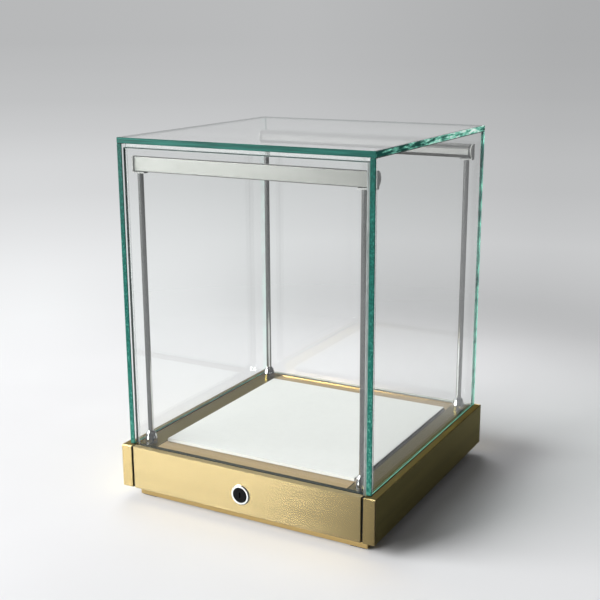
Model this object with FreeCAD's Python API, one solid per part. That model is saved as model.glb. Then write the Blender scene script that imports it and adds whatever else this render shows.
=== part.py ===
# Table-top display case: a brass-clad base under a glass hood, with a pull-out front that carries
# the display deck, and two tilting light bars on posts. Millimetres, +Z up, front towards -Y.
import FreeCAD, Part
import math
import os

from FreeCAD import Vector

# Driving dimensions of the base
base_width = 400.0
base_depth = 400.0
foot_height = 1.5
foot_width = 24.0
foot_inset = 14.0
plinth_height = 16.5
plinth_inset = 18.0
plinth_frame = 28.0
wall_height = 63.0
wall_gauge = 2.5
end_cap_thickness = 3.0
end_cap_plug = 6.0
end_cap_clearance = 0.1
edge_break = 0.6
pan_gauge = 2.0
angle_gauge = 2.0
angle_rise = 25.0
angle_gap = 1.5

# Driving dimensions of the glass hood
glass_thickness = 8.0
glass_margin = 9.0
rear_glass_margin = 6.0
hood_height = 438.0
glass_arris = 0.8
tape_thickness = 0.5
seal_lap = 2.0
seal_depth = 2.5
seal_clearance = 0.2

# Driving dimensions of the pull-out front
fascia_seam = 3.0
fascia_seal_clearance = 0.5
fascia_seal_setback = 2.0
pane_side_gap = 2.5
pane_top_gap = 5.0
closing_gap = 1.0
block_height = 2.0
block_length = 40.0
block_place = 110.0
rail_thickness = 5.5
rail_lap = 10.0
rail_end_gap = 5.0
rail_notch_gap = 4.0

# Driving dimensions of the deck
deck_drop = 1.0
deck_gauge = 3.0
deck_gap = 1.5
deck_front_gap = 0.5
strip_width = 30.5
rear_strip_depth = 28.5
board_thickness = 4.5
board_margin = 1.0
board_front_margin = 24.0
board_edge_radius = 0.8
bearer_gauge = 2.0
bearer_setback = 1.0
bearer_foot = 10.0
bearer_wall_gap = 2.0

# Driving dimensions of the runners and the drawer frame
runner_thickness = 12.7
runner_gauge = 1.5
runner_lip = 4.0
runner_margin = 4.0
runner_front_gap = 8.0
runner_rear_gap = 24.0
running_clearance = 0.3
drawer_gauge = 2.0
drawer_flange = 22.0
drawer_tab_height = 16.0
drawer_floor_gap = 10.0
drawer_rear_gap = 3.0
cross_rail_depth = 20.0
cross_rail_height = 22.0

# Driving dimensions of the lock
lock_rise = 28.0
lock_head_diameter = 28.4
lock_head_height = 2.0
lock_face_diameter = 22.2
lock_face_depth = 1.2
lock_barrel_diameter = 19.0
lock_plug_diameter = 14.0
lock_nut_width = 24.0
lock_nut_thickness = 5.0
lock_nut_cover = 2.0
key_slot_width = 2.0
key_slot_length = 8.0
key_slot_depth = 3.0
cam_reach = 20.0
cam_width = 12.0
cam_gauge = 2.5
strike_gauge = 2.5
strike_width = 30.0
strike_foot = 24.0
strike_gap = 2.0
lock_play = 0.5
shaft_clearance = 0.1

# Driving dimensions of the light bars and posts
bar_radius = 10.25
bar_flat = 5.5
bar_corner = 1.2
bar_drop = 28.0
bar_glass_gap = 9.5
bar_aim = 5.0
bar_tilt_back = 5.0
diffuser_width = 8.2
diffuser_depth = 3.0
diffuser_recess = 0.8
led_channel_width = 6.0
led_channel_floor = 3.2
led_strip_gauge = 1.5
pivot_diameter = 4.0
pivot_length = 7.0
screw_port_diameter = 2.4
screw_port_rise = 6.4
cap_thickness = 2.5
cap_gap = 0.2
bracket_gauge = 2.0
bracket_glass_gap = 5.3
bracket_foot_gauge = 1.8
bracket_foot_width = 9.0
bracket_foot_reach = 9.0
bracket_sweep_gap = 0.4
post_diameter = 8.0
post_bore = 3.5
post_spigot = 6.0
post_tail = 15.0
collar_diameter = 18.0
collar_height = 19.0
collar_skirt = 8.0
collar_shoulder_diameter = 14.5
collar_taper = 4.0
post_nut_width = 13.0
post_nut_height = 5.0

# Driving dimensions of the electrics
driver_length = 150.0
driver_height = 40.0
driver_side_gap = 1.0
lead_width = 3.2
lead_thickness = 1.6
lead_bend = 9.0
lead_rise = 14.0
inlet_side = 65.0
inlet_rise = 40.0
inlet_diameter = 12.0
inlet_bore = 6.0
inlet_flange_width = 18.0
inlet_flange_height = 2.0
inlet_tail = 5.0

# Driving dimensions of the screws
screw_diameter = 4.0
screw_head_width = 7.0
screw_head_height = 2.4
screw_length = 10.0
screw_clearance = 0.1
wall_screw_reach = 110.0
clamp_screw_places = (50.0, 105.0)

# Places worked out from the driving dimensions
half_width = base_width / 2
half_depth = base_depth / 2
base_bottom = foot_height + plinth_height
base_top = base_bottom + wall_height
hood_top = base_top + hood_height
wall_thickness = glass_margin + glass_thickness
inner_x = half_width - wall_thickness
inner_y = half_depth - wall_thickness
glass_x = half_width - glass_margin
glass_front = -half_depth + glass_margin
glass_rear = half_depth - rear_glass_margin
pane_back = glass_front + glass_thickness
pane_bottom = base_top + tape_thickness
roof_under = hood_top - glass_thickness
pan_top = base_bottom + pan_gauge
angle_top = pan_top + angle_gauge
wall_web = (base_bottom + base_top) / 2

deck_top = base_top - deck_drop
deck_under = deck_top - deck_gauge
deck_front = pane_back + rail_thickness + deck_front_gap
strip_x = inner_x - strip_width
strip_y = inner_y - rear_strip_depth
panel_half = strip_x - deck_gap
panel_rear = strip_y - deck_gap
board_half = panel_half - board_margin
board_front = deck_front + board_front_margin
bearer_x = strip_x + bearer_setback
bearer_y = strip_y + bearer_setback
bearer_front = deck_front + bearer_setback
flange_under = deck_under - bearer_gauge
angle_x = bearer_x + bearer_foot + angle_gap
angle_y = bearer_y + bearer_foot + angle_gap

runner_low = pan_top + runner_margin
runner_high = deck_under - runner_margin
runner_mid = (runner_low + runner_high) / 2
runner_front = bearer_front + runner_front_gap
runner_rear = bearer_y - runner_rear_gap
drawer_x = bearer_x - runner_thickness
drawer_low = pan_top + drawer_floor_gap
drawer_rear = panel_rear - drawer_rear_gap

lock_z = base_bottom + lock_rise
ledge_top = lock_z + lock_nut_width / 2 + lock_nut_cover + rail_notch_gap
seat_z = ledge_top + block_height
nut_back = pane_back + lock_nut_thickness
strike_front = nut_back + strike_gap
cam_front = strike_front + strike_gauge + lock_play
cam_back = cam_front + cam_gauge
strike_top = lock_z - lock_barrel_diameter / 2 - strike_gap

bar_z = roof_under - bar_drop
post_x = (strip_x + inner_x) / 2
post_y = inner_y - bar_glass_gap - bar_flat
plate_outer = inner_x - bracket_glass_gap
plate_inner = plate_outer - bracket_gauge
cap_outer = plate_inner - cap_gap
bar_half = cap_outer - cap_thickness
corner_reach = math.hypot(bar_flat - bar_corner, bar_radius - bar_corner)
corner_angle = math.atan2(bar_radius - bar_corner, bar_flat - bar_corner) + math.radians(bar_tilt_back)
corner_depth = corner_reach * math.sin(min(corner_angle, math.pi / 2)) + bar_corner
foot_top = bar_z - max(bar_radius, corner_depth) - bracket_sweep_gap
foot_under = foot_top - bracket_foot_gauge
post_end = deck_under - post_tail
inlet_x = inner_x - inlet_side
inlet_z = base_bottom + inlet_rise

SIDES = (("left", -1), ("right", 1))
ENDS = (("front", -1), ("rear", 1))


def block(x0, x1, y0, y1, z0, z1):
    """A box between two corners, given in any order."""
    low = Vector(min(x0, x1), min(y0, y1), min(z0, z1))
    return Part.makeBox(abs(x1 - x0), abs(y1 - y0), abs(z1 - z0), low)


def rod(diameter, start, direction, length):
    """A round bar from a point along a direction."""
    return Part.makeCylinder(diameter / 2, length, start, direction)


def hexagon(width, start, direction, length):
    """A hexagonal prism from a point along a direction, width measured across its flats."""
    corner = width / math.sqrt(3)
    turns = [math.radians(60 * step) for step in range(6)]
    points = [Vector(corner * math.cos(turn), corner * math.sin(turn), 0) for turn in turns]
    prism = Part.Face(Part.makePolygon(points + points[:1])).extrude(Vector(0, 0, length))
    prism.Placement = FreeCAD.Placement(start, FreeCAD.Rotation(Vector(0, 0, 1), direction))
    return prism


def hole_for(diameter, start, direction, length):
    """A hidden clearance hole for a round piece, six-sided to keep its faces few."""
    return hexagon(diameter + 2 * shaft_clearance, start, direction, length)


def section(axis, outline, start, end):
    """A closed outline of points in the other two axes, drawn along an axis from start to end."""
    corners = []
    for point in outline:
        place = list(point)
        place.insert(axis, start)
        corners.append(Vector(*place))
    sweep = [0, 0, 0]
    sweep[axis] = end - start
    return Part.Face(Part.makePolygon(corners + corners[:1])).extrude(Vector(*sweep))


def edges_along(shape, axis, places):
    """Edges parallel to an axis, at the places given in the other two axes."""
    others = [index for index in range(3) if index != axis]
    found = []
    for edge in shape.Edges:
        if len(edge.Vertexes) != 2:
            continue
        ends = [vertex.Point for vertex in edge.Vertexes]
        for place in places:
            if all(abs(end[others[i]] - place[i]) < 1e-4 for end in ends for i in (0, 1)):
                found.append(edge)
    return found


def folded(axis, line, gauge, start, end, rounded=True):
    """Sheet metal folded square along a line of points, thickened to the left of the line as it runs."""
    runs = [(after[0] - before[0], after[1] - before[1]) for before, after in zip(line, line[1:])]
    lefts = [(-run[1] / math.hypot(*run), run[0] / math.hypot(*run)) for run in runs]
    back = [(line[0][0] + gauge * lefts[0][0], line[0][1] + gauge * lefts[0][1])]
    bends = []
    for index in range(1, len(line) - 1):
        before = lefts[index - 1]
        after = lefts[index]
        front_corner = line[index]
        back_corner = (front_corner[0] + gauge * (before[0] + after[0]),
                       front_corner[1] + gauge * (before[1] + after[1]))
        back.append(back_corner)
        turns_left = before[0] * after[1] - before[1] * after[0] > 0
        bends.append(front_corner if turns_left else back_corner)
    back.append((line[-1][0] + gauge * lefts[-1][0], line[-1][1] + gauge * lefts[-1][1]))
    sheet = section(axis, line + back[::-1], start, end)
    return sheet.makeFillet(gauge, edges_along(sheet, axis, bends)) if rounded else sheet


def edges_on(shape, axis, value):
    """Edges that lie in the plane where one coordinate has a value."""
    return [edge for edge in shape.Edges if all(abs(v.Point[axis] - value) < 1e-4 for v in edge.Vertexes)]


def mirror_x(shape, side):
    """The shape itself on the right, its mirror image on the left."""
    return shape if side > 0 else shape.mirror(Vector(0, 0, 0), Vector(1, 0, 0))


def arrissed(shape):
    """A glass pane with its edges ground."""
    return shape.makeChamfer(glass_arris, shape.Edges)


def screw(head, direction):
    """A six-sided screw whose head bears on a face at a point and whose shank points along a direction."""
    cap = hexagon(screw_head_width, head, -direction, screw_head_height)
    shank = hexagon(screw_diameter, head, direction, screw_length)
    return cap.fuse(shank).removeSplitter()


def screw_hole(head, direction):
    """The clearance hole for such a screw's shank."""
    return hexagon(screw_diameter + 2 * screw_clearance, head, direction, screw_length)


def lead_route(points, bend):
    """A flat twin lead along straight runs joined by tangent arcs of one bend radius."""
    edges = []
    start = points[0]
    for before, corner, after in zip(points, points[1:], points[2:]):
        back = (before - corner).normalize()
        ahead = (after - corner).normalize()
        half = (math.pi - back.getAngle(ahead)) / 2
        reach = bend * math.tan(half)
        middle = corner + (back + ahead).normalize() * (bend / math.cos(half) - bend)
        edges.append(Part.LineSegment(start, corner + back * reach).toShape())
        edges.append(Part.Arc(corner + back * reach, middle, corner + ahead * reach).toShape())
        start = corner + ahead * reach
    edges.append(Part.LineSegment(start, points[-1]).toShape())
    along = (points[1] - points[0]).normalize()
    turn = FreeCAD.Rotation(Vector(0, 0, 1), along)
    across = turn.multVec(Vector(lead_width / 2, 0, 0))
    through = turn.multVec(Vector(0, lead_thickness / 2, 0))
    corners = [points[0] + across * a + through * b for a, b in ((-1, -1), (1, -1), (1, 1), (-1, 1))]
    ring = Part.makePolygon(corners + corners[:1])
    return Part.Wire(edges).makePipeShell([ring], True, False)


# Base

def wall_screw_heads():
    """Head places and directions of the screws that hold the walls to the angles."""
    rise = angle_top + (angle_rise - angle_gauge) / 2
    heads = []
    for place in (-wall_screw_reach, wall_screw_reach):
        heads.append((Vector(inner_x - angle_gauge, place, rise), Vector(1, 0, 0)))
        heads.append((Vector(-inner_x + angle_gauge, place, rise), Vector(-1, 0, 0)))
        heads.append((Vector(place, inner_y - angle_gauge, rise), Vector(0, 1, 0)))
    return heads


def drilled_for_walls(shape):
    """The shape with the clearance holes of the wall screws."""
    for head, direction in wall_screw_heads():
        shape = shape.cut(screw_hole(head, direction))
    return shape


def wall_cells(inset):
    """Lower and upper limits of the two hollow cells in a wall extrusion, drawn in by an inset."""
    web_half = inset - wall_gauge / 2
    return [(base_bottom + inset, wall_web - web_half), (wall_web + web_half, base_top - inset)]


def make_foot_pads():
    reach_x = half_width - plinth_inset - foot_inset
    reach_y = half_depth - plinth_inset - foot_inset
    pads = []
    for _, side in SIDES:
        for _, end in ENDS:
            half = foot_width / 2
            pads.append(block(side * reach_x - half, side * reach_x + half, end * reach_y - half,
                              end * reach_y + half, 0, foot_height))
    return Part.makeCompound(pads)


def make_plinth():
    """A recessed frame that the pan stands on."""
    reach_x = half_width - plinth_inset
    reach_y = half_depth - plinth_inset
    board = block(-reach_x, reach_x, -reach_y, reach_y, foot_height, base_bottom)
    opening = block(-reach_x + plinth_frame, reach_x - plinth_frame, -reach_y + plinth_frame,
                    reach_y - plinth_frame, foot_height, base_bottom)
    frame = board.cut(opening)
    outer = [edge for edge in edges_on(frame, 2, foot_height) if edge.CenterOfMass.Length > reach_x]
    return frame.makeChamfer(edge_break, outer)


def make_base_pan():
    return block(-inner_x, inner_x, pane_back + closing_gap, inner_y, base_bottom, pan_top)


def make_wall_angles():
    """Three folded angles that tie the walls to the pan."""
    top = pan_top + angle_rise
    line = [(angle_x, pan_top), (inner_x, pan_top), (inner_x, top)]
    side_angle = folded(1, line, angle_gauge, pane_back + closing_gap, angle_y - angle_gauge)
    line = [(angle_y, pan_top), (inner_y, pan_top), (inner_y, top)]
    angles = [mirror_x(side_angle, side) for _, side in SIDES]
    angles.append(folded(0, line, angle_gauge, -inner_x, inner_x))
    return Part.makeCompound([drilled_for_walls(angle) for angle in angles])


def make_side_wall(side):
    """A hollow extrusion along the depth, between its two end caps."""
    length_half = half_depth - end_cap_thickness
    wall = block(inner_x, half_width, -length_half, length_half, base_bottom, base_top)
    corners = [(x, z) for x in (inner_x, half_width) for z in (base_bottom, base_top)]
    wall = wall.makeChamfer(edge_break, edges_along(wall, 1, corners))
    cells = [block(inner_x + wall_gauge, half_width - wall_gauge, -length_half, length_half, low, high)
             for low, high in wall_cells(wall_gauge)]
    return drilled_for_walls(mirror_x(wall.cut(cells), side))


def make_wall_end_caps():
    """Four caps plugged into the ends of the side walls."""
    inset = wall_gauge + end_cap_clearance
    caps = []
    for _, side in SIDES:
        for _, end in ENDS:
            inside = end * (half_depth - end_cap_thickness)
            plate = block(inner_x, half_width, end * half_depth, inside, base_bottom, base_top)
            rim = edges_on(plate, 1, end * half_depth)
            corners = [(x, z) for x in (inner_x, half_width) for z in (base_bottom, base_top)]
            plate = plate.makeChamfer(edge_break, rim + edges_along(plate, 1, corners))
            plug_end = inside - end * end_cap_plug
            plugs = [block(inner_x + inset, half_width - inset, inside, plug_end, low, high)
                     for low, high in wall_cells(inset)]
            caps.append(mirror_x(plate.fuse(plugs).removeSplitter(), side))
    return Part.makeCompound(caps)


def make_rear_wall():
    """A hollow extrusion between the side walls, bored for the cable inlet."""
    wall = block(-inner_x, inner_x, inner_y, half_depth, base_bottom, base_top)
    corners = [(half_depth, base_bottom), (half_depth, base_top)]
    wall = wall.makeChamfer(edge_break, edges_along(wall, 0, corners))
    cells = [block(-inner_x, inner_x, inner_y + wall_gauge, half_depth - wall_gauge, low, high)
             for low, high in wall_cells(wall_gauge)]
    bore = hole_for(inlet_diameter, Vector(inlet_x, inner_y, inlet_z), Vector(0, 1, 0), wall_thickness)
    return drilled_for_walls(wall.cut(cells + [bore]))


# Deck

def post_places():
    """Names and foot centres of the four light posts."""
    return [(end_name + "_" + side_name, side * post_x, end * post_y)
            for end_name, end in ENDS for side_name, side in SIDES]


def drilled_for_posts(shape):
    """The shape with the clearance holes of the light posts."""
    for _, x, y in post_places():
        low = Vector(x, y, flange_under)
        shape = shape.cut(hole_for(post_diameter, low, Vector(0, 0, 1), base_top - flange_under))
    return shape


def make_deck_strip(side):
    strip = block(strip_x, inner_x, deck_front, inner_y, deck_under, deck_top)
    return drilled_for_posts(mirror_x(strip, side))


def make_rear_strip():
    return block(-strip_x, strip_x, strip_y, inner_y, deck_under, deck_top)


def bearer_line(web, wall):
    """The line of a bearer's section: a flange under the deck, a web and a foot on the pan."""
    return [(wall - bearer_wall_gap, deck_under), (web, deck_under), (web, pan_top),
            (web + bearer_foot, pan_top)]


def make_deck_bearer(side):
    channel = folded(1, bearer_line(bearer_x, inner_x), bearer_gauge, bearer_front, bearer_y)
    return drilled_for_posts(mirror_x(channel, side))


def make_rear_bearer():
    return folded(0, bearer_line(bearer_y, inner_y), bearer_gauge, -bearer_x, bearer_x)


def make_deck_panel():
    return block(-panel_half, panel_half, deck_front, panel_rear, deck_under, deck_top)


def make_display_board():
    top = deck_top + board_thickness
    board = block(-board_half, board_half, board_front, panel_rear, deck_top, top)
    return board.makeFillet(board_edge_radius, edges_on(board, 2, top))


# Glass hood

def make_glazing_tape():
    """Bedding tape under the two side panes and the rear pane."""
    inset = glass_arris
    strips = []
    for _, side in SIDES:
        strips.append(block(side * (inner_x + inset), side * (glass_x - inset), glass_front + inset,
                            glass_rear - inset, base_top, pane_bottom))
    strips.append(block(-inner_x, inner_x, glass_rear - glass_thickness + inset, glass_rear - inset,
                        base_top, pane_bottom))
    return Part.makeCompound(strips)


def make_side_glass(side):
    return arrissed(block(side * inner_x, side * glass_x, glass_front, glass_rear, pane_bottom, roof_under))


def make_rear_glass():
    inside = glass_rear - glass_thickness
    return arrissed(block(-inner_x, inner_x, inside, glass_rear, pane_bottom, roof_under))


def make_top_glass():
    return arrissed(block(-glass_x, glass_x, glass_front, glass_rear, roof_under, hood_top))


def make_hood_seals():
    """Clear strips on the side panes and the top pane that the closed front pane laps and bears on."""
    front = pane_back + seal_clearance
    back = front + seal_depth
    low = roof_under - pane_top_gap - seal_lap
    strips = [block(-inner_x, inner_x, front, back, low, roof_under)]
    for _, side in SIDES:
        inside = inner_x - pane_side_gap - seal_lap
        strips.append(block(side * inside, side * inner_x, front, back, pane_bottom, low))
    return Part.makeCompound(strips)


def make_fascia_seals():
    """Two black strips on the side walls that close the seams beside the fascia."""
    thickness = fascia_seam - fascia_seal_clearance
    strips = []
    for _, side in SIDES:
        strips.append(block(side * (inner_x - thickness), side * inner_x, -half_depth + fascia_seal_setback,
                            glass_front - fascia_seal_clearance, base_bottom + edge_break,
                            base_top - edge_break))
    return Part.makeCompound(strips)


# Pull-out front

def front_screw_heads():
    """Head places of the screws in the fascia's ledge, for the clamp rail and the drawer sides' tabs."""
    rail_z = ledge_top - rail_lap / 2
    tab_z = drawer_low + drawer_tab_height / 2
    heads = []
    for _, side in SIDES:
        for place in clamp_screw_places:
            heads.append(Vector(side * place, pane_back + rail_thickness, rail_z))
        heads.append(Vector(side * (drawer_x - drawer_flange / 2), pane_back + drawer_gauge, tab_z))
    return heads


def drilled_for_front(shape):
    """The shape with the clearance holes of those screws."""
    for head in front_screw_heads():
        shape = shape.cut(screw_hole(head, Vector(0, -1, 0)))
    return shape


def make_fascia():
    half = inner_x - fascia_seam
    leaf = block(-half, half, -half_depth, glass_front, base_bottom, base_top)
    leaf = leaf.makeChamfer(edge_break, edges_on(leaf, 1, -half_depth))
    ledge = block(-half, half, glass_front, pane_back, base_bottom, ledge_top)
    bore = hole_for(lock_barrel_diameter, Vector(0, -half_depth, lock_z), Vector(0, 1, 0), wall_thickness)
    return drilled_for_front(leaf.fuse(ledge).removeSplitter().cut(bore))


def make_front_glass():
    half = inner_x - pane_side_gap
    return arrissed(block(-half, half, glass_front, pane_back, seat_z, roof_under - pane_top_gap))


def make_setting_blocks():
    strips = []
    for _, side in SIDES:
        start = side * block_place - block_length / 2
        strips.append(block(start, start + block_length, glass_front + glass_arris, pane_back - glass_arris,
                            ledge_top, seat_z))
    return Part.makeCompound(strips)


def make_clamp_rail():
    half = inner_x - rail_end_gap
    low = ledge_top - rail_lap
    rail = block(-half, half, pane_back, pane_back + rail_thickness, low, deck_top)
    notch_half = lock_nut_width / math.sqrt(3) + rail_notch_gap
    notch = block(-notch_half, notch_half, pane_back, pane_back + rail_thickness, low, ledge_top)
    return drilled_for_front(rail.cut(notch))


def make_drawer_side(side):
    """A folded side with a flange under the deck panel and a tab behind the fascia."""
    line = [(drawer_x, drawer_low), (drawer_x, deck_under), (drawer_x - drawer_flange, deck_under)]
    angle = folded(1, line, drawer_gauge, deck_front, drawer_rear)
    line = [(drawer_x - drawer_flange, pane_back), (drawer_x, pane_back), (drawer_x, deck_front)]
    tab = folded(2, line, drawer_gauge, drawer_low, drawer_low + drawer_tab_height)
    return drilled_for_front(mirror_x(angle.fuse(tab).removeSplitter(), side))


def make_cross_rail():
    """A folded angle across the rear of the drawer, under the deck panel's flanges."""
    half = drawer_x - drawer_gauge
    shelf_top = deck_under - drawer_gauge
    line = [(drawer_rear, shelf_top - cross_rail_height), (drawer_rear, shelf_top),
            (drawer_rear - cross_rail_depth, shelf_top)]
    return folded(0, line, drawer_gauge, -half, half)


# Runners

def lipped_channel(back, mouth, half_height, lip):
    """A C section with lips at its mouth, drawn along the runner, its back towards the wall."""
    low = runner_mid - half_height
    high = runner_mid + half_height
    line = [(mouth, low + lip), (mouth, low), (back, low), (back, high), (mouth, high), (mouth, high - lip)]
    return folded(1, line, runner_gauge, runner_front, runner_rear, rounded=False)


outer_half = (runner_high - runner_low) / 2
outer_mouth = drawer_x + 2 * runner_gauge - running_clearance
middle_back = bearer_x - runner_gauge - running_clearance
middle_mouth = outer_mouth + runner_gauge + running_clearance
middle_half = outer_half - runner_gauge - running_clearance
middle_lip = runner_gauge + runner_lip
inner_neck = middle_half - middle_lip - running_clearance
inner_lip_half = middle_half - runner_gauge - running_clearance
inner_back = middle_back - runner_gauge - running_clearance


def make_runner_outer(side):
    return mirror_x(lipped_channel(bearer_x, outer_mouth, outer_half, runner_lip), side)


def make_runner_middle(side):
    return mirror_x(lipped_channel(middle_back, middle_mouth, middle_half, middle_lip), side)


def make_runner_inner(side):
    """A hat section held in the middle member by its brims, its crown on the drawer side."""
    brim = inner_back - runner_gauge
    line = [(brim, runner_mid + inner_lip_half), (brim, runner_mid + inner_neck),
            (drawer_x, runner_mid + inner_neck), (drawer_x, runner_mid - inner_neck),
            (brim, runner_mid - inner_neck), (brim, runner_mid - inner_lip_half)]
    return mirror_x(folded(1, line, runner_gauge, runner_front, runner_rear, rounded=False), side)


# Lock

def make_lock_barrel():
    """The lock's turned body: a bezel on the fascia, a threaded barrel through it."""
    along = Vector(0, 1, 0)
    face = Vector(0, -half_depth - lock_head_height, lock_z)
    head = rod(lock_head_diameter, face, along, lock_head_height)
    rim = [edge for edge in edges_on(head, 1, face.y) if edge.Curve.TypeId == "Part::GeomCircle"]
    head = head.makeChamfer(lock_head_height * 0.6, rim)
    barrel = rod(lock_barrel_diameter, face, along, cam_front - face.y - shaft_clearance)
    recess = rod(lock_face_diameter, face, along, lock_face_depth)
    bore = rod(lock_plug_diameter, face, along, cam_front - face.y)
    return head.fuse(barrel).cut(recess).cut(bore).removeSplitter()


def make_lock_nut():
    along = Vector(0, 1, 0)
    start = Vector(0, pane_back, lock_z)
    nut = hexagon(lock_nut_width, start, along, lock_nut_thickness)
    return nut.cut(hole_for(lock_barrel_diameter, start, along, lock_nut_thickness))


def make_lock_plug():
    """The turning plug: a dark face in the bezel, with a key slot, and a shank to the cam."""
    along = Vector(0, 1, 0)
    face = Vector(0, -half_depth - lock_head_height, lock_z)
    disc = rod(lock_face_diameter - 2 * shaft_clearance, face, along, lock_face_depth - shaft_clearance)
    shank = rod(lock_plug_diameter - 2 * shaft_clearance, face, along, cam_front - face.y)
    slot = block(-key_slot_width / 2, key_slot_width / 2, face.y, face.y + key_slot_depth,
                 lock_z - key_slot_length / 2, lock_z + key_slot_length / 2)
    return disc.fuse(shank).removeSplitter().cut(slot)


def make_lock_cam():
    """A flat cam on the plug's end that points sideways when unlocked and turns down behind the strike."""
    half = cam_width / 2
    cut = cam_width / 4
    outline = [(-half, lock_z - half), (cam_reach - cut, lock_z - half), (cam_reach, lock_z - half + cut),
               (cam_reach, lock_z + half - cut), (cam_reach - cut, lock_z + half), (-half, lock_z + half)]
    return section(1, outline, cam_front, cam_back)


def make_lock_strike():
    """A folded angle on the pan, standing just in front of the locked cam."""
    line = [(strike_front, strike_top), (strike_front, pan_top), (strike_front + strike_foot, pan_top)]
    return folded(0, line, strike_gauge, -strike_width / 2, strike_width / 2)


# Light bars

def bar_outline(x0, x1, end):
    """The bar's D section: flat towards the glass, half round towards the display."""
    y = end * post_y
    flat = y + end * bar_flat
    low = bar_z - bar_radius
    high = bar_z + bar_radius
    edges = [
        Part.LineSegment(Vector(x0, y, low), Vector(x0, flat, low)),
        Part.LineSegment(Vector(x0, flat, low), Vector(x0, flat, high)),
        Part.LineSegment(Vector(x0, flat, high), Vector(x0, y, high)),
        Part.Arc(Vector(x0, y, high), Vector(x0, y - end * bar_radius, bar_z), Vector(x0, y, low)),
    ]
    face = Part.Face(Part.Wire([edge.toShape() for edge in edges]))
    bar = face.extrude(Vector(x1 - x0, 0, 0))
    return bar.makeFillet(bar_corner, edges_along(bar, 0, [(flat, low), (flat, high)]))


def aimed_block(x0, x1, reach0, reach1, width, end):
    """A block in the bar's section, at a reach from its axis along the direction that the light aims."""
    y = end * post_y
    shape = block(x0, x1, y - end * reach0, y - end * reach1, bar_z - width / 2, bar_z + width / 2)
    shape.rotate(Vector(0, y, bar_z), Vector(1, 0, 0), end * bar_aim)
    return shape


def diffuser_floor():
    return bar_radius - diffuser_depth


def make_bar_profile(end):
    """The extruded profile with its diffuser rebate, light channel, wire duct and screw ports."""
    y = end * post_y
    profile = bar_outline(-bar_half, bar_half, end)
    rebate = aimed_block(-bar_half, bar_half, diffuser_floor(), 2 * bar_radius,
                         diffuser_width + 2 * shaft_clearance, end)
    channel = aimed_block(-bar_half, bar_half, led_channel_floor, diffuser_floor(), led_channel_width, end)
    cuts = [rebate, channel]
    along = Vector(1, 0, 0)
    cuts.append(hole_for(pivot_diameter, Vector(-bar_half, y, bar_z), along, 2 * bar_half))
    for sign in (-1, 1):
        port = Vector(-bar_half, y + end * bar_flat / 2, bar_z + sign * screw_port_rise)
        cuts.append(hole_for(screw_port_diameter, port, along, 2 * bar_half))
    return profile.cut(cuts)


def make_diffuser(end):
    """A flat strip set a little below the mouth of its rebate."""
    mouth = math.sqrt(bar_radius ** 2 - (diffuser_width / 2) ** 2)
    return aimed_block(-bar_half, bar_half, diffuser_floor(), mouth - diffuser_recess, diffuser_width, end)


def make_led_strip(end):
    return aimed_block(-bar_half, bar_half, led_channel_floor, led_channel_floor + led_strip_gauge,
                       led_channel_width - 2 * shaft_clearance, end)


def make_end_caps(end):
    """Two dark caps on the ends of a bar, bored for the pivots."""
    y = end * post_y
    caps = []
    for _, side in SIDES:
        cap = bar_outline(side * bar_half, side * cap_outer, end)
        start = Vector(side * bar_half, y, bar_z)
        caps.append(cap.cut(hole_for(pivot_diameter, start, Vector(side, 0, 0), cap_thickness)))
    return Part.makeCompound(caps)


def make_bar_bracket(side, end):
    """An end plate with a pivot, on a foot that stands on the post's spigot."""
    y = end * post_y
    half = bracket_foot_width / 2
    plate = bar_outline(side * plate_inner, side * plate_outer, end)
    neck = block(side * plate_inner, side * plate_outer, y - half, y + half, foot_under, bar_z)
    foot = block(side * (post_x - bracket_foot_reach), side * plate_outer, y - half, y + half,
                 foot_under, foot_top)
    pivot = rod(pivot_diameter, Vector(side * plate_inner, y, bar_z), Vector(-side, 0, 0), pivot_length)
    bracket = plate.fuse([neck, foot, pivot]).removeSplitter()
    seat = Vector(side * post_x, y, foot_under)
    return bracket.cut(hole_for(post_spigot, seat, Vector(0, 0, 1), bracket_foot_gauge))


def make_light_post(x, y):
    """A tube from below the deck to the bracket's foot, with a six-sided spigot at its top."""
    up = Vector(0, 0, 1)
    tube = rod(post_diameter, Vector(x, y, post_end), up, foot_under - post_end)
    spigot = hexagon(post_spigot, Vector(x, y, foot_under), up, bracket_foot_gauge)
    bore = hexagon(post_bore, Vector(x, y, post_end), up, foot_top - post_end)
    return tube.fuse(spigot).removeSplitter().cut(bore)


def make_post_collars():
    """Turned bell-shaped collars on the deck."""
    bore = post_diameter / 2 + shaft_clearance
    outer = collar_diameter / 2
    outline = [
        Vector(bore, 0, 0),
        Vector(outer, 0, 0),
        Vector(outer, 0, collar_skirt),
        Vector(collar_shoulder_diameter / 2, 0, collar_height - collar_taper),
        Vector(bore, 0, collar_height),
    ]
    turned = Part.Face(Part.makePolygon(outline + outline[:1])).revolve(Vector(0, 0, 0), Vector(0, 0, 1), 360)
    return Part.makeCompound([turned.translated(Vector(x, y, deck_top)) for _, x, y in post_places()])


def make_post_nuts():
    """Nuts that draw the posts down under the bearers' flanges."""
    down = Vector(0, 0, -1)
    nuts = []
    for _, x, y in post_places():
        start = Vector(x, y, bearer_foot_level(y))
        nut = hexagon(post_nut_width, start, down, post_nut_height)
        nuts.append(nut.cut(hole_for(post_diameter, start, down, post_nut_height)))
    return Part.makeCompound(nuts)


def bearer_foot_level(y):
    """The underside that a post's nut bears on: the bearer's flange, or the strip where no bearer reaches."""
    return flange_under if y < bearer_y - post_nut_width / 2 else deck_under


# Electrics

driver_front = bearer_y + bearer_gauge + driver_side_gap
driver_back = inner_y - angle_gauge - screw_head_height - driver_side_gap
driver_mid = (driver_front + driver_back) / 2


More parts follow.
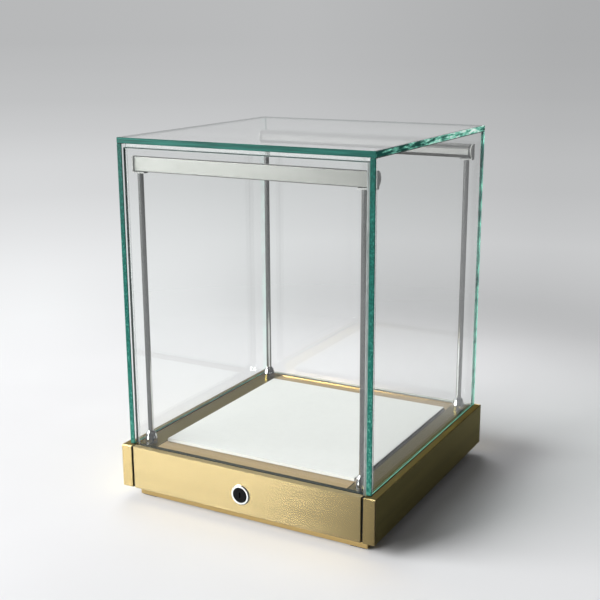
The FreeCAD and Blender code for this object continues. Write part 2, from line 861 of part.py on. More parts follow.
def make_led_driver():
    """A slim power supply lying in the rear channel."""
    half = driver_length / 2
    case = block(-half, half, driver_front, driver_back, angle_top, angle_top + driver_height)
    return case.makeChamfer(edge_break * 2, edges_on(case, 2, angle_top + driver_height))


def make_cable_inlet():
    """A bush through the rear wall, with a hexagonal flange outside."""
    along = Vector(0, -1, 0)
    start = Vector(inlet_x, half_depth + inlet_flange_height, inlet_z)
    length = inlet_flange_height + wall_thickness + inlet_tail
    flange = hexagon(inlet_flange_width, start, along, inlet_flange_height)
    bush = flange.fuse(rod(inlet_diameter, start, along, length)).removeSplitter()
    return bush.cut(rod(inlet_bore, start, along, length))


def make_wiring_leads():
    """Leads from the left posts and the inlet to the driver, inside the bearers' channels."""
    half = driver_length / 2
    low = angle_top + lead_rise
    high = low + driver_height / 3
    front_post = [
        Vector(-post_x, -post_y, post_end),
        Vector(-post_x, -post_y, low),
        Vector(-post_x, driver_mid, low),
        Vector(-half, driver_mid, low),
    ]
    rear_post = [
        Vector(-post_x, post_y, post_end),
        Vector(-post_x, post_y, high),
        Vector(-half, post_y, high),
    ]
    inlet = [
        Vector(inlet_x, inner_y - inlet_tail, inlet_z),
        Vector(inlet_x, driver_mid, inlet_z),
        Vector(half, driver_mid, inlet_z),
    ]
    return Part.makeCompound([lead_route(points, lead_bend) for points in (front_post, rear_post, inlet)])


# All pieces

def make_pieces():
    """Every piece by its node's name."""
    pieces = {
        "foot_pads": make_foot_pads(),
        "plinth": make_plinth(),
        "base_pan": make_base_pan(),
        "wall_angles": make_wall_angles(),
        "rear_wall": make_rear_wall(),
        "wall_end_caps": make_wall_end_caps(),
        "wall_screws": Part.makeCompound([screw(head, along) for head, along in wall_screw_heads()]),
        "deck_strip_rear": make_rear_strip(),
        "deck_bearer_rear": make_rear_bearer(),
        "deck_panel": make_deck_panel(),
        "display_board": make_display_board(),
        "glazing_tape": make_glazing_tape(),
        "glass_rear": make_rear_glass(),
        "glass_top": make_top_glass(),
        "hood_seals": make_hood_seals(),
        "fascia_seals": make_fascia_seals(),
        "fascia": make_fascia(),
        "glass_front": make_front_glass(),
        "setting_blocks": make_setting_blocks(),
        "clamp_rail": make_clamp_rail(),
        "front_screws": Part.makeCompound([screw(head, Vector(0, -1, 0)) for head in front_screw_heads()]),
        "runner_outers": Part.makeCompound([make_runner_outer(side) for _, side in SIDES]),
        "runner_middles": Part.makeCompound([make_runner_middle(side) for _, side in SIDES]),
        "runner_inners": Part.makeCompound([make_runner_inner(side) for _, side in SIDES]),
        "drawer_cross_rail": make_cross_rail(),
        "lock_barrel": make_lock_barrel(),
        "lock_nut": make_lock_nut(),
        "lock_plug": make_lock_plug(),
        "lock_cam": make_lock_cam(),
        "lock_strike": make_lock_strike(),
        "post_collars": make_post_collars(),
        "post_nuts": make_post_nuts(),
        "led_driver": make_led_driver(),
        "cable_inlet": make_cable_inlet(),
        "wiring_leads": make_wiring_leads(),
    }
    for name, side in SIDES:
        pieces["side_wall_" + name] = make_side_wall(side)
        pieces["deck_strip_" + name] = make_deck_strip(side)
        pieces["deck_bearer_" + name] = make_deck_bearer(side)
        pieces["glass_" + name] = make_side_glass(side)
        pieces["drawer_side_" + name] = make_drawer_side(side)
    for name, x, y in post_places():
        pieces["light_post_" + name] = make_light_post(x, y)
    for end_name, end in ENDS:
        pieces["bar_profile_" + end_name] = make_bar_profile(end)
        pieces["bar_diffuser_" + end_name] = make_diffuser(end)
        pieces["led_strip_" + end_name] = make_led_strip(end)
        pieces["bar_end_caps_" + end_name] = make_end_caps(end)
        brackets = [make_bar_bracket(side, end) for _, side in SIDES]
        pieces["bar_brackets_" + end_name] = Part.makeCompound(brackets)
    return pieces


def main():
    os.makedirs("parts", exist_ok=True)
    for name, shape in make_pieces().items():
        shape.exportStep("parts/" + name + ".step")


main()
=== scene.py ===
import math

import bpy
from mathutils import Matrix, Vector

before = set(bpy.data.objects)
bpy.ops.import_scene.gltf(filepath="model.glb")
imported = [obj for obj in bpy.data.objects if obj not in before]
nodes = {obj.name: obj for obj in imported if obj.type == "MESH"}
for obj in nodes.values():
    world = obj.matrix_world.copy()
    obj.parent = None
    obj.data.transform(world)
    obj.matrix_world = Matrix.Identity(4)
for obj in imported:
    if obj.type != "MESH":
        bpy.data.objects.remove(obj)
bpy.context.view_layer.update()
scene = bpy.context.scene
scene.view_settings.view_transform = "Standard"

# Nearly all of a noise texture's values lie between these
noise_low = 0.3
noise_high = 0.7

# Strokes of brushed and drawn metal, per metre across and along the grain
fine_strokes = (900.0, 14.0)
broad_strokes = (60.0, 3.0)
drawn_lines = (700.0, 6.0)

# Heights in metres between which the upright edges of the glass get darker upwards and paler downwards, as
# painted shade and painted light
pane_foot = 0.1
pane_head = 0.5

# The least share of a normal along an axis for a face that looks along it, or only leans to it
square_on = 0.9
leaning = 0.2


def shaded(colour, factor):
    """A colour made darker or lighter by a factor."""
    return tuple(channel * factor for channel in colour)


def two_tone(dark, pale):
    """Stops for the streaks in the edge of a pane."""
    return [(0.36, dark), (0.64, pale)]


def even(scale):
    """A texture scale that is the same along each axis."""
    return (scale, scale, scale)


def stretched(grain, across, along):
    """A texture scale with one value across the grain's axis and another along it."""
    scale = [across, across, across]
    scale["XYZ".index(grain)] = along
    return scale


class Graph:
    """A node tree with short calls to add and join nodes."""

    def __init__(self, tree):
        self.tree = tree

    def add(self, kind, **settings):
        node = self.tree.nodes.new(kind)
        for key, value in settings.items():
            setattr(node, key, value)
        return node

    def join(self, source, target):
        self.tree.links.new(source, target)

    def maths(self, operation, first, second):
        """An operation on two values, each a socket or a number."""
        node = self.add("ShaderNodeMath", operation=operation)
        for target, value in zip(node.inputs, (first, second)):
            if isinstance(value, float):
                target.default_value = value
            else:
                self.join(value, target)
        return node.outputs["Value"]

    def parts(self, vector):
        """A vector's X, Y and Z."""
        node = self.add("ShaderNodeSeparateXYZ")
        self.join(vector, node.inputs["Vector"])
        return node.outputs

    def length(self, vector):
        node = self.add("ShaderNodeVectorMath", operation="LENGTH")
        self.join(vector, node.inputs[0])
        return node.outputs["Value"]

    def away_from(self, place, centre):
        """The way from a fixed centre to a place."""
        node = self.add("ShaderNodeVectorMath", operation="SUBTRACT")
        node.inputs[1].default_value = centre
        self.join(place, node.inputs[0])
        return node.outputs["Vector"]

    def scaled(self, colour, level):
        node = self.add("ShaderNodeVectorMath", operation="SCALE")
        self.join(colour, node.inputs[0])
        self.join(level, node.inputs["Scale"])
        return node.outputs["Vector"]

    def place(self, scale):
        """Object coordinates stretched by a scale in each axis, per metre."""
        coordinates = self.add("ShaderNodeTexCoord")
        mapping = self.add("ShaderNodeMapping")
        mapping.inputs["Scale"].default_value = scale
        self.join(coordinates.outputs["Object"], mapping.inputs["Vector"])
        return mapping.outputs["Vector"]

    def noise(self, scale, detail):
        """A noise value over stretched object coordinates."""
        texture = self.add("ShaderNodeTexNoise")
        texture.inputs["Scale"].default_value = 1.0
        texture.inputs["Detail"].default_value = detail
        texture.inputs["Roughness"].default_value = 0.6
        self.join(self.place(scale), texture.inputs["Vector"])
        return texture.outputs["Fac"]

    def ramp(self, value, stops):
        """Colours along a value."""
        ramp = self.add("ShaderNodeValToRGB")
        elements = ramp.color_ramp.elements
        while len(elements) < len(stops):
            elements.new(0.5)
        for element, (place, colour) in zip(elements, stops):
            element.position = place
            element.color = (*colour, 1.0)
        self.join(value, ramp.inputs["Fac"])
        return ramp.outputs["Color"]

    def spread(self, value, low, high, start=noise_low, end=noise_high, curve="LINEAR"):
        """A value carried from start..end to low..high."""
        node = self.add("ShaderNodeMapRange", interpolation_type=curve)
        node.inputs["From Min"].default_value = start
        node.inputs["From Max"].default_value = end
        node.inputs["To Min"].default_value = low
        node.inputs["To Max"].default_value = high
        self.join(value, node.inputs["Value"])
        return node.outputs["Result"]

    def choose(self, factor, first, second):
        """The first shader where the factor is 0, the second where it is 1."""
        node = self.add("ShaderNodeMixShader")
        self.join(factor, node.inputs["Fac"])
        self.join(first, node.inputs[1])
        self.join(second, node.inputs[2])
        return node.outputs["Shader"]


class Look(Graph):
    """A new material and its node tree."""

    def __init__(self, name):
        self.material = bpy.data.materials.new(name)
        self.material.use_nodes = True
        super().__init__(self.material.node_tree)
        self.tree.nodes.clear()
        self.output = self.add("ShaderNodeOutputMaterial")

    def show(self, shader):
        self.join(shader, self.output.inputs["Surface"])

    def principled(self, **values):
        """The main shader, with values for inputs that are named in small letters."""
        node = self.add("ShaderNodeBsdfPrincipled")
        for key, value in values.items():
            title = key.replace("_", " ").title().replace("Ior", "IOR")
            node.inputs[title].default_value = value
        self.show(node.outputs["BSDF"])
        return node

    def vary_colour(self, target, noise, low, high):
        self.join(self.ramp(noise, [(noise_low, low), (noise_high, high)]), target)

    def vary_roughness(self, shader, noise, roughness, variation):
        low = roughness * (1.0 - variation)
        high = roughness * (1.0 + variation)
        self.join(self.spread(noise, low, high), shader.inputs["Roughness"])

    def emboss(self, shader, noise, strength, depth):
        """A relief in the surface, its depth in metres."""
        node = self.add("ShaderNodeBump")
        node.inputs["Strength"].default_value = strength
        node.inputs["Distance"].default_value = depth
        self.join(noise, node.inputs["Height"])
        self.join(node.outputs["Normal"], shader.inputs["Normal"])

    def pass_light(self, seen, film):
        """A shader for the camera and mirrors, a clear film to lamps and to light from other faces."""
        clear = self.add("ShaderNodeBsdfTransparent")
        clear.inputs["Color"].default_value = (*film, 1.0)
        bare = clear.outputs["BSDF"]
        rays = self.add("ShaderNodeLightPath").outputs
        matt = self.choose(rays["Is Diffuse Ray"], seen, bare)
        satin = self.choose(rays["Is Singular Ray"], bare, seen)
        glossy = self.choose(rays["Is Glossy Ray"], matt, satin)
        self.show(self.choose(rays["Is Shadow Ray"], glossy, bare))


def brushed_metal(name, colour, grain, roughness, anisotropy=0.88, gloss=None, graze=(1.0, 1.0, 1.0),
                  relief=0.25, metal=1.0):
    """Metal brushed along X, Y or Z: gloss spreads about that axis or another, graze tints the rim."""
    look = Look(name)
    streaks = look.noise(stretched(grain, *fine_strokes), detail=4.0)
    shading = look.noise(stretched(grain, *broad_strokes), detail=2.0)
    shader = look.principled(metallic=metal, anisotropic=anisotropy, specular_tint=(*graze, 1.0))
    across = look.add("ShaderNodeTangent", direction_type="RADIAL", axis=gloss or grain)
    look.join(across.outputs["Tangent"], shader.inputs["Tangent"])
    look.vary_colour(shader.inputs["Base Color"], shading, shaded(colour, 0.93), shaded(colour, 1.04))
    look.vary_roughness(shader, streaks, roughness, variation=0.07)
    look.emboss(shader, streaks, relief, depth=0.00006)
    return look.material


def polished_metal(name, colour, grain):
    """Metal polished to a mirror over faint drawing lines."""
    look = Look(name)
    lines = look.noise(stretched(grain, *drawn_lines), detail=3.0)
    shader = look.principled(metallic=1.0, roughness=0.0)
    look.vary_colour(shader.inputs["Base Color"], lines, shaded(colour, 0.85), colour)
    look.emboss(shader, lines, strength=0.2, depth=0.00004)
    return look.material


def satin_metal(name, colour, roughness, speckle):
    """Metal with a fine speckle, as anodised or zinc plated."""
    look = Look(name)
    grains = look.noise(even(speckle), detail=2.0)
    shader = look.principled(metallic=1.0)
    look.vary_colour(shader.inputs["Base Color"], grains, shaded(colour, 0.88), shaded(colour, 1.08))
    look.vary_roughness(shader, grains, roughness, variation=0.2)
    look.emboss(shader, grains, strength=0.2, depth=0.00005)
    return look.material


def plain_surface(name, colour, roughness, speckle, variation=0.06, gloss=0.5, metal=0.0):
    """Plastic, rubber, board or blasted metal with a fine grain."""
    look = Look(name)
    grains = look.noise(even(speckle), detail=4.0)
    shader = look.principled(specular_ior_level=gloss, metallic=metal)
    darker = shaded(colour, 1.0 - variation)
    lighter = shaded(colour, 1.0 + variation)
    look.vary_colour(shader.inputs["Base Color"], grains, darker, lighter)
    look.vary_roughness(shader, grains, roughness, variation=0.1)
    look.emboss(shader, grains, strength=0.3, depth=0.00005)
    return look.material


def clear_glass(name):
    """Polished float glass."""
    look = Look(name)
    shader = look.principled(roughness=0.0, ior=1.5, transmission_weight=1.0)
    film = look.noise(even(3.0), detail=1.0)
    look.vary_colour(shader.inputs["Base Color"], film, (0.985, 0.995, 0.99), (1.0, 1.0, 1.0))
    look.pass_light(shader.outputs["BSDF"], (0.95, 0.96, 0.955))
    return look.material


def glass_edge(name, stops, scale, rear=0.0, reach=(-0.2, 0.2), low=0.0, glow=0.0):
    """The edge of float glass: its own green, with painted light on it: streaks, glints and a glow, paler to
    the rear or the bottom.
    """
    look = Look(name)
    streaks = look.noise(scale, detail=3.0)
    place = look.parts(look.place(even(1.0)))
    # Painted light: paler towards the rear and the bottom of the pane
    rearward = look.spread(place["Y"], -rear, rear, start=reach[0], end=reach[1])
    downward = look.spread(place["Z"], low, -low, start=pane_foot, end=pane_head)
    paler = look.maths("ADD", streaks, look.maths("ADD", rearward, downward))
    # Painted glow: the edge's colours also shine as emission, though the glass is no lamp
    shader = look.principled(roughness=0.3, ior=1.5, specular_ior_level=0.15, emission_strength=glow)
    colours = look.ramp(paler, stops)
    look.join(colours, shader.inputs["Base Color"])
    look.join(colours, shader.inputs["Emission Color"])
    look.pass_light(shader.outputs["BSDF"], (0.95, 0.97, 0.96))
    return look.material


def clear_silicone(name):
    """A clear seal with a little milkiness."""
    look = Look(name)
    haze = look.noise(even(120.0), detail=2.0)
    shader = look.principled(roughness=0.35, ior=1.4, alpha=0.25)
    look.vary_colour(shader.inputs["Base Color"], haze, (0.42, 0.45, 0.44), (0.5, 0.53, 0.52))
    return look.material


# Colours that several materials share
brass = (0.80, 0.64, 0.325)
deck_brass = (0.265, 0.195, 0.1)
aluminium = (0.195, 0.197, 0.186)
# The glass edges: teal and sea green are the glass's own green with painted shade, the lit green is painted
# light from the pane, the white a painted glint
teal = (0.0037, 0.051, 0.04)
sea_green = (0.0125, 0.117, 0.092)
painted_lit_green = (0.30, 0.92, 0.70)
painted_glint_white = (0.85, 1.0, 0.92)

brass_looks = {
    "brass_x": brushed_metal("brass_grain_x", brass, "X", roughness=0.22, anisotropy=1.0, relief=0.04),
    # Painted shade: a dark copy of the brass for the faces that lean up
    "painted_shade_brass_rim": brushed_metal("painted_shade_brass_rim", shaded(brass, 0.22), "X", roughness=0.45),
    # Painted shade: a dark copy of the brass, with a dark rim, for the tops of the side walls
    "painted_shade_wall_top": brushed_metal("painted_shade_wall_top", shaded(brass, 0.25), "Y", roughness=0.4, graze=(0.45, 0.4, 0.3)),
    "brass_y": brushed_metal("brass_grain_y", (0.72, 0.625, 0.24), "Y", roughness=0.36),
    "brass_z": brushed_metal("brass_grain_z", (0.715, 0.555, 0.26), "Z", roughness=0.23, anisotropy=1.0,
                             gloss="X"),
    "plinth": polished_metal("brass_plinth", (0.74, 0.54, 0.23), "X"),
    "deck_x": brushed_metal("brass_deck_x", deck_brass, "X", roughness=0.3, anisotropy=0.6,
                            graze=(0.92, 0.84, 0.74)),
    # Painted shade: the side strips get a darker copy of the deck's brass, with a darker rim
    "side_deck_painted_shade": brushed_metal("brass_deck_y", (0.12, 0.108, 0.06), "Y", roughness=0.3, anisotropy=0.6,
                            graze=(0.47, 0.415, 0.325)),
}

glass_looks = {
    "glass": clear_glass("float_glass"),
    # The front edges: the glass's own green, darkened as painted shade, with painted light in the streaks
    # and towards the bottom
    "edge_upright": glass_edge("glass_edge_upright",
                               [(0.36, teal), (0.58, sea_green), (0.76, shaded(painted_lit_green, 0.32))],
                               even(420.0), low=0.1),
    "edge_level": glass_edge("glass_edge_level", two_tone(teal, sea_green), (12.0, 400.0, 400.0)),
    # Painted glints along the top pane's right edge, brighter towards the rear, with a painted glow
    "painted_glint_edge": glass_edge("glass_edge_glint", [(0.42, teal), (0.58, shaded(painted_lit_green, 0.6)), (0.72, painted_glint_white)],
                             (400.0, 40.0, 250.0), rear=0.09, reach=(-0.12, 0.0), glow=0.6),
    # Painted light: edges that shine green where light leaves the pane, paler to the bottom
    "painted_lit_edge": glass_edge("glass_edge_bright", two_tone((0.04, 0.22, 0.18), painted_lit_green), even(60.0), low=0.1),
    # A painted glow on the right pane's bottom edge, which is no lamp
    "painted_glow_edge": glass_edge("glass_edge_glow", two_tone(shaded(painted_lit_green, 0.7), painted_lit_green), even(60.0), glow=0.7),
    # Painted shade: dark lines on the thin edges, and near black on the front pane's bottom edge
    "painted_shade_thin_edge": glass_edge("glass_edge_thin", two_tone((0.012, 0.03, 0.027), (0.03, 0.06, 0.052)),
                            even(40.0)),
    "painted_shade_dark_edge": glass_edge("glass_edge_dark", two_tone((0.003, 0.01, 0.012), (0.006, 0.018, 0.02)),
                            even(40.0)),
    # A painted highlight: a pale edge with a faint painted glow
    "painted_highlight_edge": glass_edge("glass_edge_pale", two_tone((0.55, 0.62, 0.60), (0.75, 0.80, 0.78)),
                            even(40.0), glow=0.1),
    "silicone": clear_silicone("clear_silicone"),
}

metal_looks = {
    "aluminium": brushed_metal("satin_aluminium", aluminium, "X", roughness=0.36, anisotropy=0.8,
                               relief=0.04, metal=0.68),
    # A softer finish for the bars' faces other than the flat, and darker, which is painted shade
    "bar_sides_soft_and_painted_shade": satin_metal("dull_aluminium_and_painted_shade", (0.15, 0.151, 0.148), roughness=0.5, speckle=500.0),
    # Painted shade: a dark copy of the bars' aluminium for the front bar's upper rounded edge
    "aluminium_round_painted_shade": brushed_metal("aluminium_rim_painted_shade", shaded(aluminium, 0.25), "X", roughness=0.5,
                                    graze=(0.3, 0.3, 0.3)),
    "bracket": plain_surface("blasted_aluminium", (0.32, 0.32, 0.31), roughness=0.5, speckle=500.0,
                             metal=0.3),
    "black_metal": plain_surface("black_aluminium", (0.008, 0.02, 0.024), roughness=0.6, speckle=300.0,
                                 gloss=0.15),
    "steel": satin_metal("polished_steel", (0.80, 0.81, 0.81), roughness=0.1, speckle=500.0),
    "bezel": brushed_metal("lock_bezel", (0.58, 0.585, 0.58), "X", roughness=0.32, anisotropy=1.0),
    "zinc": satin_metal("zinc_steel", (0.58, 0.59, 0.60), roughness=0.42, speckle=300.0),
}

plain_looks = {
    "board": plain_surface("board_white", (0.82, 0.832, 0.80), roughness=0.6, speckle=90.0, variation=0.015),
    # Painted shade: the board's sides near black, where shade falls
    "board_side_painted_shade": plain_surface("painted_shade_board_sides", (0.03, 0.032, 0.03), roughness=0.8, speckle=300.0,
                                gloss=0.1),
    # Painted shade: a darker copy of the board's white for its front faces
    "board_face_painted_shade": plain_surface("board_front_edge", (0.62, 0.626, 0.6), roughness=0.7, speckle=300.0,
                                 gloss=0.2),
    "rubber": plain_surface("black_rubber", (0.012, 0.013, 0.013), roughness=0.8, speckle=700.0, gloss=0.1),
    "plastic": plain_surface("black_plastic", (0.018, 0.018, 0.018), roughness=0.5, speckle=500.0),
    "lock_face": plain_surface("lock_black", (0.005, 0.005, 0.0055), roughness=0.6, speckle=400.0,
                               gloss=0.1),
    "diffuser": plain_surface("light_diffuser", (0.34, 0.34, 0.33), roughness=0.5, speckle=300.0,
                              variation=0.05, gloss=0.2),
    "led": plain_surface("led_board", (0.74, 0.73, 0.64), roughness=0.5, speckle=160.0),
    "driver": plain_surface("driver_case", (0.62, 0.62, 0.61), roughness=0.55, speckle=400.0),
    "lead": plain_surface("lead_sheath", (0.025, 0.025, 0.027), roughness=0.55, speckle=500.0),
}

materials = {**brass_looks, **glass_looks, **metal_looks, **plain_looks}

# The main material of each node
painted = {
    "brass_x": ["fascia", "rear_wall"],
    "brass_y": ["side_wall_left", "side_wall_right"],
    "brass_z": ["wall_end_caps"],
    "plinth": ["plinth"],
    "deck_x": ["deck_strip_rear", "deck_panel"],
    "side_deck_painted_shade": ["deck_strip_left", "deck_strip_right"],
    "glass": ["glass_left", "glass_right", "glass_rear", "glass_top", "glass_front"],
    "board": ["display_board"],
    "aluminium": ["bar_profile_front", "bar_profile_rear"],
    "bracket": ["bar_brackets_front", "bar_brackets_rear"],
    "black_metal": ["clamp_rail"],
    "silicone": ["hood_seals"],
    "steel": ["light_post_front_left", "light_post_front_right", "light_post_rear_left",
              "light_post_rear_right", "post_collars"],
    "bezel": ["lock_barrel"],
    "zinc": ["base_pan", "wall_angles", "deck_bearer_left", "deck_bearer_right", "deck_bearer_rear",
             "drawer_side_left", "drawer_side_right", "drawer_cross_rail", "runner_outers",
             "runner_middles", "runner_inners", "lock_strike", "lock_nut", "lock_cam", "post_nuts",
             "wall_screws", "front_screws"],
    "rubber": ["foot_pads", "fascia_seals", "setting_blocks", "glazing_tape"],
    "plastic": ["bar_end_caps_front", "bar_end_caps_rear", "cable_inlet"],
    "lock_face": ["lock_plug"],
    "diffuser": ["bar_diffuser_front", "bar_diffuser_rear"],
    "led": ["led_strip_front", "led_strip_rear"],
    "driver": ["led_driver"],
    "lead": ["wiring_leads"],
}
for key, names in painted.items():
    for name in names:
        mesh = nodes[name].data
        mesh.materials.clear()
        mesh.materials.append(materials[key])

# The axis across each pane, and the material of each of its edges: lit or shaded copies by the side each
# edge faces, which is painted light and shade
pane_edges = {
    "glass_left": (0, {"-Y": "edge_upright", "+Y": "painted_lit_edge", "-Z": "painted_lit_edge", "+Z": "painted_shade_thin_edge"}),
    "glass_right": (0, {"-Y": "edge_upright", "+Y": "painted_lit_edge", "-Z": "painted_glow_edge", "+Z": "painted_shade_thin_edge"}),
    "glass_rear": (1, {"-X": "painted_lit_edge", "+X": "painted_lit_edge", "-Z": "painted_highlight_edge", "+Z": "painted_shade_thin_edge"}),
    "glass_top": (2, {"-Y": "edge_level", "+X": "painted_glint_edge", "-X": "painted_shade_thin_edge", "+Y": "painted_shade_thin_edge"}),
    "glass_front": (1, {"-X": "painted_shade_thin_edge", "+X": "painted_highlight_edge", "-Z": "painted_shade_dark_edge", "+Z": "painted_shade_thin_edge"}),
}


def edge_side(normal, across):
    """The side of a pane that an edge face looks to, as an axis with its sign."""
    axis = max((axis for axis in range(3) if axis != across), key=lambda axis: abs(normal[axis]))
    return ("+" if normal[axis] > 0 else "-") + "XYZ"[axis]


for name, (across, edges) in pane_edges.items():
    pane = nodes[name].data
    slots = list(dict.fromkeys(edges.values()))
    for key in slots:
        pane.materials.append(materials[key])
    for face in pane.polygons:
        if abs(face.normal[across]) < square_on:
            face.material_index = 1 + slots.index(edges[edge_side(face.normal, across)])


def repaint(name, key, picked):
    """Another material on the faces of a node whose normal is picked."""
    mesh = nodes[name].data
    mesh.materials.append(materials[key])
    for face in mesh.polygons:
        if picked(face.normal):
            face.material_index = len(mesh.materials) - 1


def upper_round(normal):
    """The rounded edge between the front bar's face and its top, which gets painted shade."""
    return -0.97 < normal.y < -0.1 and normal.z > leaning


# Painted shadow: the sides of the deck's panel and strips are painted black, for the shade in the seams
# between them
for name in ("deck_panel", "deck_strip_left", "deck_strip_right"):
    repaint(name, "rubber", lambda normal: abs(normal.x) > square_on)
# Painted shade on the board's sides
repaint("display_board", "board_side_painted_shade", lambda normal: abs(normal.x) > square_on)
# Painted shade on the board's front faces
repaint("display_board", "board_face_painted_shade", lambda normal: normal.y < -leaning)
# Painted shade on the tops of the side walls
for name in ("side_wall_left", "side_wall_right"):
    repaint(name, "painted_shade_wall_top", lambda normal: normal.z > leaning)
# Painted shade on the faces of the fascia and rear wall that lean up
for name in ("fascia", "rear_wall"):
    repaint(name, "painted_shade_brass_rim", lambda normal: normal.z > leaning)
# A softer finish with painted shade on the faces of the bars other than the flat one
repaint("bar_profile_front", "bar_sides_soft_and_painted_shade", lambda normal: normal.y > -square_on)
repaint("bar_profile_rear", "bar_sides_soft_and_painted_shade", lambda normal: normal.y < square_on)
# Painted shade on the front bar's upper rounded edge
repaint("bar_profile_front", "aluminium_round_painted_shade", upper_round)

# The light all round, the backdrop's grey, and how much brighter it is overhead, between two heights
ambient = (0.125, 0.125, 0.1275)
backdrop = (0.435, 0.44, 0.445)
overhead = 2.4
rise_from = 0.05
rise_to = 0.3

# Levels of the backdrop by heading in radians, from 0 at the rear and negative to the left
rear_levels = [(-1.6, 1.1), (-0.74, 1.10), (-0.5, 1.13), (-0.27, 0.96)]
seen_levels = [(-3.1, 0.98), *rear_levels, (0.1, 0.92), (3.1, 0.98)]
mirrored_levels = [(-3.1, 0.08), (-2.2, 0.12), *rear_levels, (0.1, 0.4), (0.4, 0.04), (3.1, 0.08)]

# The far floor's grey, a painted pool of light about a centre: its levels from near to far of the centre,
# over powers of ten of a metre
painted_pool_centre = (0.7, -1.3, 0.0)
near_power = 0.2
far_power = 1.8
fall_levels = [(0.0, 1.95), (0.12, 1.92), (0.17, 1.80), (0.22, 1.62), (0.28, 1.45), (0.34, 1.39),
               (0.42, 1.24), (0.52, 1.12), (0.7, 1.05), (1.0, 1.0)]

# Painted shade on the far floor: what it loses by heading, the share of it by distance, and where the loss
# sets in
right_painted_shade = [(-0.75, 0.0), (-0.6, 0.2), (-0.5, 0.47), (-0.39, 0.5), (-0.25, 0.45), (0.6, 0.0)]
near_shares = [(0.1, 1.0), (0.2, 0.38), (0.35, 0.27), (0.5, 0.12), (1.0, 0.0)]
loss_from = 0.3
loss_to = 1.0

# The floor's half width, and where its matt part starts to turn into the far grey and ends
floor_reach = 150.0
matt_until = 0.45
grey_from = 1.25


def seen_directly(graph, mirrors):
    """1 for rays from the camera or through glass, and for sharp mirrors if they count, 0 for the rest."""
    rays = graph.add("ShaderNodeLightPath").outputs
    seen = graph.maths("MAXIMUM", rays["Is Camera Ray"], rays["Is Transmission Ray"])
    if mirrors:
        seen = graph.maths("MAXIMUM", seen, rays["Is Singular Ray"])
    return seen


def by_heading(graph, direction, steps):
    """A level by the heading of a direction, halved in the ramp, which holds 0 to 1."""
    parts = graph.parts(direction)
    turn = graph.maths("ARCTAN2", parts["X"], parts["Y"])
    heading = graph.spread(turn, 0.0, 1.0, start=-math.pi, end=math.pi)
    stops = [(angle / (2 * math.pi) + 0.5, (level / 2,) * 3) for angle, level in steps]
    return graph.spread(graph.ramp(heading, stops), 0.0, 2.0, start=0.0, end=1.0)


def side_fall(graph, direction):
    """The backdrop's level by heading: nearly even as seen, bright only to the rear left in mirrors."""
    level = graph.add("ShaderNodeMix", data_type="FLOAT")
    graph.join(seen_directly(graph, mirrors=False), level.inputs[0])
    graph.join(by_heading(graph, direction, mirrored_levels), level.inputs[2])
    graph.join(by_heading(graph, direction, seen_levels), level.inputs[3])
    return level.outputs[0]


def floor_painted_pool(graph, place):
    """The far floor's grey: a painted pool of light that falls off with the distance from the front right,
    with painted shade towards the right.
    """
    away = graph.away_from(place, painted_pool_centre)
    distance = graph.length(away)
    power = graph.maths("LOGARITHM", distance, 10.0)
    fall = graph.spread(power, 0.0, 1.0, start=near_power, end=far_power)
    grey = graph.ramp(fall, [(stop, shaded(backdrop, level)) for stop, level in fall_levels])
    near = graph.ramp(fall, [(stop, (share,) * 3) for stop, share in near_shares])
    # Painted shade towards the right of the case
    near_painted_shade = graph.maths("MULTIPLY", by_heading(graph, away, right_painted_shade), near)
    outside = graph.spread(distance, 0.0, 1.0, start=loss_from, end=loss_to)
    kept = graph.maths("SUBTRACT", 1.0, graph.maths("MULTIPLY", near_painted_shade, outside))
    return graph.scaled(graph.scaled(grey, side_fall(graph, away)), kept)


def floor_material():
    """A pale matt floor that runs into the backdrop's grey far behind the case; blurred reflections see it
    dark, a painted reflection.
    """
    look = Look("studio_floor")
    pale = look.add("ShaderNodeBsdfDiffuse")
    soft = look.noise(even(2.5), detail=2.0)
    look.vary_colour(pale.inputs["Color"], soft, (0.75, 0.752, 0.762), (0.785, 0.787, 0.797))
    # Painted reflection: blurred reflections see a dark floor, the camera a pale one
    painted_dark_reflection = look.add("ShaderNodeBsdfDiffuse")
    painted_dark_reflection.inputs["Color"].default_value = (0.15, 0.15, 0.15, 1.0)
    rays = look.add("ShaderNodeLightPath").outputs
    satin = look.choose(rays["Is Singular Ray"], painted_dark_reflection.outputs["BSDF"], pale.outputs["BSDF"])
    near = look.choose(rays["Is Glossy Ray"], pale.outputs["BSDF"], satin)
    grey = look.add("ShaderNodeEmission")
    place = look.add("ShaderNodeTexCoord").outputs["Object"]
    look.join(floor_painted_pool(look, place), grey.inputs["Color"])
    far = look.spread(look.length(place), 0.0, 1.0, start=matt_until, end=grey_from, curve="SMOOTHERSTEP")
    share = look.maths("MULTIPLY", far, seen_directly(look, mirrors=True))
    look.show(look.choose(share, near, grey.outputs["Emission"]))
    return look.material


def make_floor():
    reach = floor_reach
    mesh = bpy.data.meshes.new("studio_floor")
    corners = [(-reach, -reach, 0), (reach, -reach, 0), (reach, reach, 0), (-reach, reach, 0)]
    mesh.from_pydata(corners, [], [(0, 1, 2, 3)])
    floor = bpy.data.objects.new("studio_floor", mesh)
    floor.data.materials.append(floor_material())
    scene.collection.objects.link(floor)


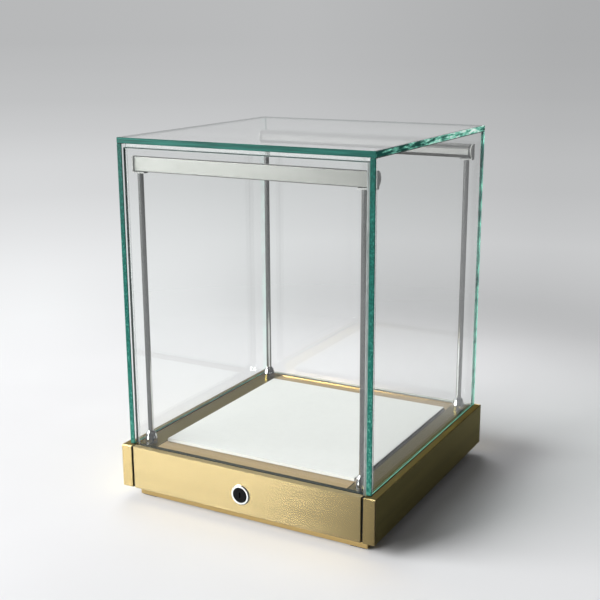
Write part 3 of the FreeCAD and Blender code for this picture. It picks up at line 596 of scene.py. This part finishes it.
def make_world():
    """A dim even light all round, with the backdrop's grey where it is seen."""
    world = bpy.data.worlds.new("studio")
    world.use_nodes = True
    scene.world = world
    graph = Graph(world.node_tree)
    around = world.node_tree.nodes["Background"]
    around.inputs["Color"].default_value = (*ambient, 1.0)
    behind = graph.add("ShaderNodeBackground")
    direction = graph.add("ShaderNodeTexCoord").outputs["Generated"]
    rise = graph.spread(graph.parts(direction)["Z"], 0.0, 1.0, start=rise_from, end=rise_to)
    grey = graph.ramp(rise, [(0.0, backdrop), (1.0, shaded(backdrop, overhead))])
    graph.join(graph.scaled(grey, side_fall(graph, direction)), behind.inputs["Color"])
    rays = graph.add("ShaderNodeLightPath").outputs
    both = graph.choose(rays["Is Diffuse Ray"], behind.outputs["Background"], around.outputs["Background"])
    graph.join(both, world.node_tree.nodes["World Output"].inputs["Surface"])


def area_light(name, place, target, size, power):
    lamp = bpy.data.lights.new(name, "AREA")
    lamp.shape = "RECTANGLE"
    lamp.size = size[0]
    lamp.size_y = size[1]
    lamp.energy = power
    holder = bpy.data.objects.new(name, lamp)
    holder.location = place
    holder.rotation_mode = "QUATERNION"
    holder.rotation_quaternion = (Vector(target) - Vector(place)).to_track_quat("-Z", "Y")
    scene.collection.objects.link(holder)


def make_camera():
    """The photograph's camera, worked out from the corners of the base, the hood and the light bars."""
    azimuth = math.radians(28.76)
    elevation = math.radians(14.39)
    roll = math.radians(-0.26)
    target = Vector((-0.01627, 0.0, 0.27152))
    distance = 1.54657
    back = Vector((math.sin(azimuth) * math.cos(elevation), -math.cos(azimuth) * math.cos(elevation),
                   math.sin(elevation)))
    level = Vector((0, 0, 1)).cross(back).normalized()
    upright = back.cross(level)
    right = level * math.cos(roll) + upright * math.sin(roll)
    up = upright * math.cos(roll) - level * math.sin(roll)
    data = bpy.data.cameras.new("photo_camera")
    data.sensor_width = 36.0
    data.lens = 63.005
    camera = bpy.data.objects.new("photo_camera", data)
    turn = Matrix((right, up, back)).transposed().to_4x4()
    camera.matrix_world = Matrix.Translation(target + back * distance) @ turn
    scene.collection.objects.link(camera)
    scene.camera = camera


make_floor()
make_world()
area_light("key", place=(-4.86, -4.49, 2.95), target=(0, 0, 2.95), size=(5.55, 5.2), power=1330.0)
area_light("rear", place=(-2.0, 2.6, 3.9), target=(0, 0, 0), size=(2.5, 2.5), power=63.0)
make_camera()
